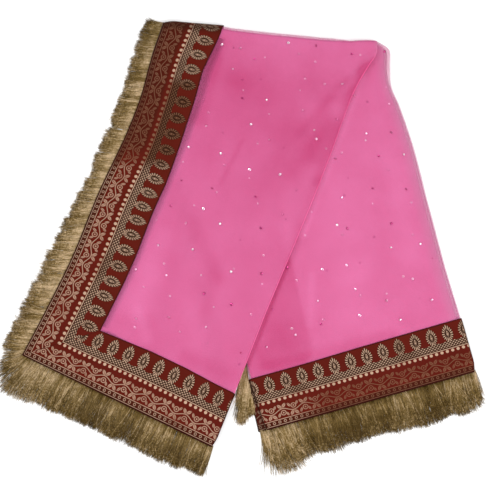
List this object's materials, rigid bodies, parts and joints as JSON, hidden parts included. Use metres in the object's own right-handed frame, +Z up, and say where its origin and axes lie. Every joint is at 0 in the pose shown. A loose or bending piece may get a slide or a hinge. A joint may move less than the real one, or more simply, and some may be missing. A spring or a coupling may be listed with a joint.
{
  "type": "dupatta stole",
  "caption": "Long sheer net stole with a woven border tape and thread fringe, folded in thirds and doubled into an upturned V that lies flat",
  "frame": {"origin": "centre of the outline seen from above, on the plane that the stole lies on", "axes": "+X to the right and +Y towards the top fold, both along the plane it lies on; +Z up, out of the cloth"},
  "size_m": [0.6452, 0.6298, 0.0156],
  "materials": {
    "net": "sheer pink net with scattered small silver discs",
    "net_layers": "the same pink net, several layers deep",
    "tape": "woven maroon tape with a gold thread pattern, satin sheen",
    "fringe": "silky golden beige thread fringe"
  },
  "bodies": {
    "root": {"left_net_face": "net", "right_net_face": "net", "left_inner_layers": "net_layers", "right_inner_layers": "net_layers", "left_side_border": "tape", "left_end_border": "tape", "right_end_border": "tape", "right_under_border": "tape", "left_side_fringe_upper": "fringe", "left_side_fringe_lower": "fringe", "left_end_fringe": "fringe", "right_end_fringe": "fringe", "right_under_fringe": "fringe"}
  },
  "joints": []
}
